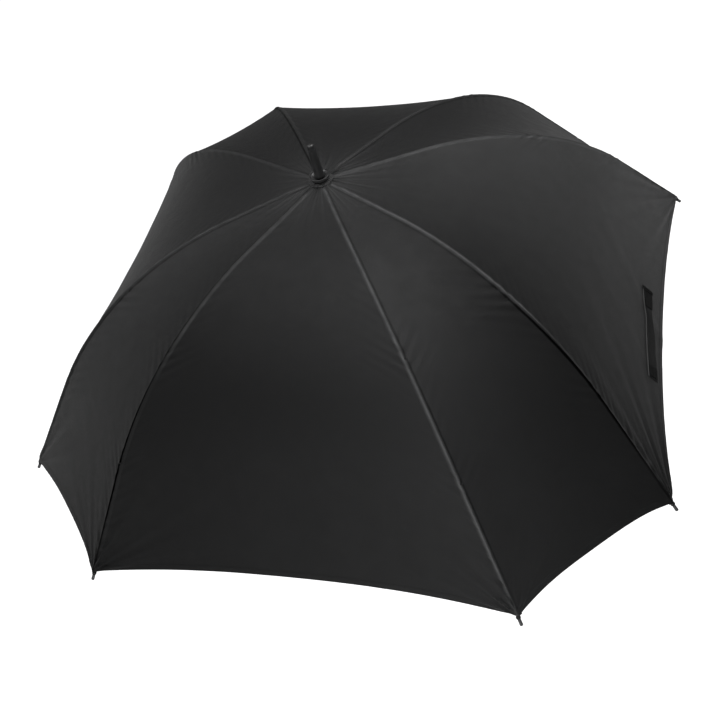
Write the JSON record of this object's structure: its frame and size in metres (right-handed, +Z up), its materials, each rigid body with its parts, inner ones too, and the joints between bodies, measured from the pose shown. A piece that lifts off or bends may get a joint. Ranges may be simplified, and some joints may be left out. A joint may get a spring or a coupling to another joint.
{
  "type": "golf umbrella",
  "caption": "Large square-canopy golf umbrella with paired corner ribs, sliding runner, straight foam grip and a tie strap; opens and folds.",
  "frame": {"origin": "on the shaft's axis in the middle of the hand grip", "axes": "+Z up the shaft to the ferrule; +X faces the side panel that carries the tie strap; the wide panels face +X, +Y, -X and -Y"},
  "size_m": [1.1064, 1.1064, 1.016],
  "materials": {
    "black_shaft": "satin black fibreglass tube",
    "black_plastic": "moulded nylon",
    "ferrule_plastic": "moulded, satin",
    "steel_wire": "bright wire",
    "spring_steel": "bright",
    "foam_grip": "closed-cell foam",
    "fibreglass": "smooth black rod",
    "tip_plastic": "moulded",
    "stretcher_steel": "black enamel",
    "canopy_cloth": "plain woven polyester, soft sheen",
    "strap_cloth": "woven tape"
  },
  "bodies": {
    "frame": {"shaft": "black_shaft", "crown": "black_plastic", "crown_ring": "steel_wire", "ferrule": "ferrule_plastic", "canopy_cup": "black_plastic", "handle_grip": "foam_grip", "handle_collar": "black_plastic"},
    "rib_1": {"rib_inner_1": "fibreglass"},
    "rib_end_1": {"rib_outer_1": "fibreglass", "rib_tip_1": "tip_plastic"},
    "stretcher_1": {"stretcher_1": "stretcher_steel"},
    "rib_2": {"rib_inner_2": "fibreglass"},
    "rib_end_2": {"rib_outer_2": "fibreglass", "rib_tip_2": "tip_plastic"},
    "stretcher_2": {"stretcher_2": "stretcher_steel"},
    "rib_3": {"rib_inner_3": "fibreglass"},
    "rib_end_3": {"rib_outer_3": "fibreglass", "rib_tip_3": "tip_plastic"},
    "stretcher_3": {"stretcher_3": "stretcher_steel"},
    "rib_4": {"rib_inner_4": "fibreglass"},
    "rib_end_4": {"rib_outer_4": "fibreglass", "rib_tip_4": "tip_plastic"},
    "stretcher_4": {"stretcher_4": "stretcher_steel"},
    "rib_5": {"rib_inner_5": "fibreglass"},
    "rib_end_5": {"rib_outer_5": "fibreglass", "rib_tip_5": "tip_plastic"},
    "stretcher_5": {"stretcher_5": "stretcher_steel"},
    "rib_6": {"rib_inner_6": "fibreglass"},
    "rib_end_6": {"rib_outer_6": "fibreglass", "rib_tip_6": "tip_plastic"},
    "stretcher_6": {"stretcher_6": "stretcher_steel"},
    "rib_7": {"rib_inner_7": "fibreglass"},
    "rib_end_7": {"rib_outer_7": "fibreglass", "rib_tip_7": "tip_plastic"},
    "stretcher_7": {"stretcher_7": "stretcher_steel"},
    "rib_8": {"rib_inner_8": "fibreglass"},
    "rib_end_8": {"rib_outer_8": "fibreglass", "rib_tip_8": "tip_plastic"},
    "stretcher_8": {"stretcher_8": "stretcher_steel"},
    "runner": {"runner": "black_plastic", "runner_ring": "steel_wire"},
    "canopy_inner_1": {"canopy_inner_1": "canopy_cloth"},
    "canopy_outer_1": {"canopy_outer_1": "canopy_cloth"},
    "canopy_inner_2": {"canopy_inner_2": "canopy_cloth"},
    "canopy_outer_2": {"canopy_outer_2": "canopy_cloth"},
    "canopy_inner_3": {"canopy_inner_3": "canopy_cloth"},
    "canopy_outer_3": {"canopy_outer_3": "canopy_cloth"},
    "canopy_inner_4": {"canopy_inner_4": "canopy_cloth"},
    "canopy_outer_4": {"canopy_outer_4": "canopy_cloth"},
    "canopy_inner_5": {"canopy_inner_5": "canopy_cloth"},
    "canopy_outer_5": {"canopy_outer_5": "canopy_cloth"},
    "canopy_inner_6": {"canopy_inner_6": "canopy_cloth"},
    "canopy_outer_6": {"canopy_outer_6": "canopy_cloth"},
    "canopy_inner_7": {"canopy_inner_7": "canopy_cloth"},
    "canopy_outer_7": {"canopy_outer_7": "canopy_cloth"},
    "canopy_inner_8": {"canopy_inner_8": "canopy_cloth"},
    "canopy_outer_8": {"canopy_outer_8": "canopy_cloth", "tie_strap": "strap_cloth"},
    "top_catch": {"top_catch": "spring_steel"},
    "bottom_catch": {"bottom_catch": "spring_steel"}
  },
  "joints": [
    {"name": "rib_1_fold", "type": "hinge", "parent": "frame", "child": "rib_1", "pos_m": [0.01208, 0.00708, 0.857], "axis": [-0.506, 0.8625, 0], "range_deg": [0, 74], "deforming": ["canopy_inner_1", "canopy_outer_1", "canopy_inner_2", "canopy_outer_2", "canopy_inner_3", "canopy_outer_3", "canopy_inner_4", "canopy_outer_4", "canopy_inner_5", "canopy_outer_5", "canopy_inner_6", "canopy_outer_6", "canopy_inner_7", "canopy_outer_7", "canopy_inner_8", "canopy_outer_8", "tie_strap", "top_catch", "bottom_catch"]},
    {"name": "rib_1_flex", "type": "hinge", "parent": "rib_1", "child": "rib_end_1", "pos_m": [0.31731, 0.18616, 0.78246], "axis": [-0.4586, 0.8835, 0.0951], "range_deg": [-27, 0]},
    {"name": "stretcher_1_pivot", "type": "hinge", "parent": "rib_1", "child": "stretcher_1", "pos_m": [0.30727, 0.18027, 0.77958], "axis": [-0.506, 0.8625, 0], "range_deg": [-148, 0]},
    {"name": "rib_2_fold", "type": "hinge", "parent": "frame", "child": "rib_2", "pos_m": [0.00708, 0.01208, 0.857], "axis": [-0.8625, 0.506, 0], "range_deg": [0, 74]},
    {"name": "rib_2_flex", "type": "hinge", "parent": "rib_2", "child": "rib_end_2", "pos_m": [0.18616, 0.31731, 0.78246], "axis": [-0.8835, 0.4586, -0.0951], "range_deg": [-27, 0]},
    {"name": "stretcher_2_pivot", "type": "hinge", "parent": "rib_2", "child": "stretcher_2", "pos_m": [0.18027, 0.30727, 0.77958], "axis": [-0.8625, 0.506, 0], "range_deg": [-148, 0]},
    {"name": "rib_3_fold", "type": "hinge", "parent": "frame", "child": "rib_3", "pos_m": [-0.00708, 0.01208, 0.857], "axis": [-0.8625, -0.506, 0], "range_deg": [0, 74]},
    {"name": "rib_3_flex", "type": "hinge", "parent": "rib_3", "child": "rib_end_3", "pos_m": [-0.18616, 0.31731, 0.78246], "axis": [-0.8835, -0.4586, 0.0951], "range_deg": [-27, 0]},
    {"name": "stretcher_3_pivot", "type": "hinge", "parent": "rib_3", "child": "stretcher_3", "pos_m": [-0.18027, 0.30727, 0.77958], "axis": [-0.8625, -0.506, 0], "range_deg": [-148, 0]},
    {"name": "rib_4_fold", "type": "hinge", "parent": "frame", "child": "rib_4", "pos_m": [-0.01208, 0.00708, 0.857], "axis": [-0.506, -0.8625, 0], "range_deg": [0, 74]},
    {"name": "rib_4_flex", "type": "hinge", "parent": "rib_4", "child": "rib_end_4", "pos_m": [-0.31731, 0.18616, 0.78246], "axis": [-0.4586, -0.8835, -0.0951], "range_deg": [-27, 0]},
    {"name": "stretcher_4_pivot", "type": "hinge", "parent": "rib_4", "child": "stretcher_4", "pos_m": [-0.30727, 0.18027, 0.77958], "axis": [-0.506, -0.8625, 0], "range_deg": [-148, 0]},
    {"name": "rib_5_fold", "type": "hinge", "parent": "frame", "child": "rib_5", "pos_m": [-0.01208, -0.00708, 0.857], "axis": [0.506, -0.8625, 0], "range_deg": [0, 74]},
    {"name": "rib_5_flex", "type": "hinge", "parent": "rib_5", "child": "rib_end_5", "pos_m": [-0.31731, -0.18616, 0.78246], "axis": [0.4586, -0.8835, 0.0951], "range_deg": [-27, 0]},
    {"name": "stretcher_5_pivot", "type": "hinge", "parent": "rib_5", "child": "stretcher_5", "pos_m": [-0.30727, -0.18027, 0.77958], "axis": [0.506, -0.8625, 0], "range_deg": [-148, 0]},
    {"name": "rib_6_fold", "type": "hinge", "parent": "frame", "child": "rib_6", "pos_m": [-0.00708, -0.01208, 0.857], "axis": [0.8625, -0.506, 0], "range_deg": [0, 74]},
    {"name": "rib_6_flex", "type": "hinge", "parent": "rib_6", "child": "rib_end_6", "pos_m": [-0.18616, -0.31731, 0.78246], "axis": [0.8835, -0.4586, -0.0951], "range_deg": [-27, 0]},
    {"name": "stretcher_6_pivot", "type": "hinge", "parent": "rib_6", "child": "stretcher_6", "pos_m": [-0.18027, -0.30727, 0.77958], "axis": [0.8625, -0.506, 0], "range_deg": [-148, 0]},
    {"name": "rib_7_fold", "type": "hinge", "parent": "frame", "child": "rib_7", "pos_m": [0.00708, -0.01208, 0.857], "axis": [0.8625, 0.506, 0], "range_deg": [0, 74]},
    {"name": "rib_7_flex", "type": "hinge", "parent": "rib_7", "child": "rib_end_7", "pos_m": [0.18616, -0.31731, 0.78246], "axis": [0.8835, 0.4586, 0.0951], "range_deg": [-27, 0]},
    {"name": "stretcher_7_pivot", "type": "hinge", "parent": "rib_7", "child": "stretcher_7", "pos_m": [0.18027, -0.30727, 0.77958], "axis": [0.8625, 0.506, 0], "range_deg": [-148, 0]},
    {"name": "rib_8_fold", "type": "hinge", "parent": "frame", "child": "rib_8", "pos_m": [0.01208, -0.00708, 0.857], "axis": [0.506, 0.8625, 0], "range_deg": [0, 74]},
    {"name": "rib_8_flex", "type": "hinge", "parent": "rib_8", "child": "rib_end_8", "pos_m": [0.31731, -0.18616, 0.78246], "axis": [0.4586, 0.8835, -0.0951], "range_deg": [-27, 0]},
    {"name": "stretcher_8_pivot", "type": "hinge", "parent": "rib_8", "child": "stretcher_8", "pos_m": [0.30727, -0.18027, 0.77958], "axis": [0.506, 0.8625, 0], "range_deg": [-148, 0]},
    {"name": "runner_pivot", "type": "hinge", "parent": "stretcher_1", "child": "runner", "pos_m": [0.01208, 0.00708, 0.70217], "axis": [-0.506, 0.8625, 0], "range_deg": [0, 74]},
    {"name": "panel_1_fold", "type": "hinge", "parent": "frame", "child": "canopy_inner_1", "pos_m": [0.00958, 0.00958, 0.857], "axis": [-0.7071, 0.7071, 0], "range_deg": [0, 75]},
    {"name": "panel_1_bend", "type": "hinge", "parent": "canopy_inner_1", "child": "canopy_outer_1", "pos_m": [0.25281, 0.25281, 0.78536], "axis": [-0.7071, 0.7071, 0], "range_deg": [-32, 0]},
    {"name": "panel_2_fold", "type": "hinge", "parent": "frame", "child": "canopy_inner_2", "pos_m": [0, 0.01208, 0.857], "axis": [-1, 0, 0], "range_deg": [0, 75]},
    {"name": "panel_2_bend", "type": "hinge", "parent": "canopy_inner_2", "child": "canopy_outer_2", "pos_m": [0, 0.31867, 0.78536], "axis": [-1, 0, 0], "range_deg": [-32, 0]},
    {"name": "panel_3_fold", "type": "hinge", "parent": "frame", "child": "canopy_inner_3", "pos_m": [-0.00958, 0.00958, 0.857], "axis": [-0.7071, -0.7071, 0], "range_deg": [0, 75]},
    {"name": "panel_3_bend", "type": "hinge", "parent": "canopy_inner_3", "child": "canopy_outer_3", "pos_m": [-0.25281, 0.25281, 0.78536], "axis": [-0.7071, -0.7071, 0], "range_deg": [-32, 0]},
    {"name": "panel_4_fold", "type": "hinge", "parent": "frame", "child": "canopy_inner_4", "pos_m": [-0.01208, 0, 0.857], "axis": [0, -1, 0], "range_deg": [0, 75]},
    {"name": "panel_4_bend", "type": "hinge", "parent": "canopy_inner_4", "child": "canopy_outer_4", "pos_m": [-0.31867, 0, 0.78536], "axis": [0, -1, 0], "range_deg": [-32, 0]},
    {"name": "panel_5_fold", "type": "hinge", "parent": "frame", "child": "canopy_inner_5", "pos_m": [-0.00958, -0.00958, 0.857], "axis": [0.7071, -0.7071, 0], "range_deg": [0, 75]},
    {"name": "panel_5_bend", "type": "hinge", "parent": "canopy_inner_5", "child": "canopy_outer_5", "pos_m": [-0.25281, -0.25281, 0.78536], "axis": [0.7071, -0.7071, 0], "range_deg": [-32, 0]},
    {"name": "panel_6_fold", "type": "hinge", "parent": "frame", "child": "canopy_inner_6", "pos_m": [0, -0.01208, 0.857], "axis": [1, 0, 0], "range_deg": [0, 75]},
    {"name": "panel_6_bend", "type": "hinge", "parent": "canopy_inner_6", "child": "canopy_outer_6", "pos_m": [0, -0.31867, 0.78536], "axis": [1, 0, 0], "range_deg": [-32, 0]},
    {"name": "panel_7_fold", "type": "hinge", "parent": "frame", "child": "canopy_inner_7", "pos_m": [0.00958, -0.00958, 0.857], "axis": [0.7071, 0.7071, 0], "range_deg": [0, 75]},
    {"name": "panel_7_bend", "type": "hinge", "parent": "canopy_inner_7", "child": "canopy_outer_7", "pos_m": [0.25281, -0.25281, 0.78536], "axis": [0.7071, 0.7071, 0], "range_deg": [-32, 0]},
    {"name": "panel_8_fold", "type": "hinge", "parent": "frame", "child": "canopy_inner_8", "pos_m": [0.01208, 0, 0.857], "axis": [0, 1, 0], "range_deg": [0, 75]},
    {"name": "panel_8_bend", "type": "hinge", "parent": "canopy_inner_8", "child": "canopy_outer_8", "pos_m": [0.31867, 0, 0.78536], "axis": [0, 1, 0], "range_deg": [-32, 0]},
    {"name": "top_catch_press", "type": "slide", "parent": "frame", "child": "top_catch", "axis": [0, 1, 0], "range_m": [0, 0.003], "stiffness_N_per_m": 300},
    {"name": "bottom_catch_press", "type": "slide", "parent": "frame", "child": "bottom_catch", "axis": [0, 1, 0], "range_m": [0, 0.003], "stiffness_N_per_m": 300}
  ],
  "couplings": [
    {"joint": "rib_1_flex", "follows": "rib_1_fold", "ratio": -0.36},
    {"joint": "stretcher_1_pivot", "follows": "rib_1_fold", "ratio": -2},
    {"joint": "rib_2_fold", "follows": "rib_1_fold", "ratio": 1},
    {"joint": "rib_2_flex", "follows": "rib_1_fold", "ratio": -0.36},
    {"joint": "stretcher_2_pivot", "follows": "rib_1_fold", "ratio": -2},
    {"joint": "rib_3_fold", "follows": "rib_1_fold", "ratio": 1},
    {"joint": "rib_3_flex", "follows": "rib_1_fold", "ratio": -0.36},
    {"joint": "stretcher_3_pivot", "follows": "rib_1_fold", "ratio": -2},
    {"joint": "rib_4_fold", "follows": "rib_1_fold", "ratio": 1},
    {"joint": "rib_4_flex", "follows": "rib_1_fold", "ratio": -0.36},
    {"joint": "stretcher_4_pivot", "follows": "rib_1_fold", "ratio": -2},
    {"joint": "rib_5_fold", "follows": "rib_1_fold", "ratio": 1},
    {"joint": "rib_5_flex", "follows": "rib_1_fold", "ratio": -0.36},
    {"joint": "stretcher_5_pivot", "follows": "rib_1_fold", "ratio": -2},
    {"joint": "rib_6_fold", "follows": "rib_1_fold", "ratio": 1},
    {"joint": "rib_6_flex", "follows": "rib_1_fold", "ratio": -0.36},
    {"joint": "stretcher_6_pivot", "follows": "rib_1_fold", "ratio": -2},
    {"joint": "rib_7_fold", "follows": "rib_1_fold", "ratio": 1},
    {"joint": "rib_7_flex", "follows": "rib_1_fold", "ratio": -0.36},
    {"joint": "stretcher_7_pivot", "follows": "rib_1_fold", "ratio": -2},
    {"joint": "rib_8_fold", "follows": "rib_1_fold", "ratio": 1},
    {"joint": "rib_8_flex", "follows": "rib_1_fold", "ratio": -0.36},
    {"joint": "stretcher_8_pivot", "follows": "rib_1_fold", "ratio": -2},
    {"joint": "runner_pivot", "follows": "rib_1_fold", "ratio": 1},
    {"joint": "panel_1_fold", "follows": "rib_1_fold", "ratio": 0.997},
    {"joint": "panel_1_bend", "follows": "rib_1_fold", "ratio": -0.3643},
    {"joint": "panel_2_fold", "follows": "rib_1_fold", "ratio": 0.9848},
    {"joint": "panel_2_bend", "follows": "rib_1_fold", "ratio": -0.4222},
    {"joint": "panel_3_fold", "follows": "rib_1_fold", "ratio": 0.997},
    {"joint": "panel_3_bend", "follows": "rib_1_fold", "ratio": -0.3643},
    {"joint": "panel_4_fold", "follows": "rib_1_fold", "ratio": 0.9848},
    {"joint": "panel_4_bend", "follows": "rib_1_fold", "ratio": -0.4222},
    {"joint": "panel_5_fold", "follows": "rib_1_fold", "ratio": 0.997},
    {"joint": "panel_5_bend", "follows": "rib_1_fold", "ratio": -0.3643},
    {"joint": "panel_6_fold", "follows": "rib_1_fold", "ratio": 0.9848},
    {"joint": "panel_6_bend", "follows": "rib_1_fold", "ratio": -0.4222},
    {"joint": "panel_7_fold", "follows": "rib_1_fold", "ratio": 0.997},
    {"joint": "panel_7_bend", "follows": "rib_1_fold", "ratio": -0.3643},
    {"joint": "panel_8_fold", "follows": "rib_1_fold", "ratio": 0.9848},
    {"joint": "panel_8_bend", "follows": "rib_1_fold", "ratio": -0.4222}
  ]
}
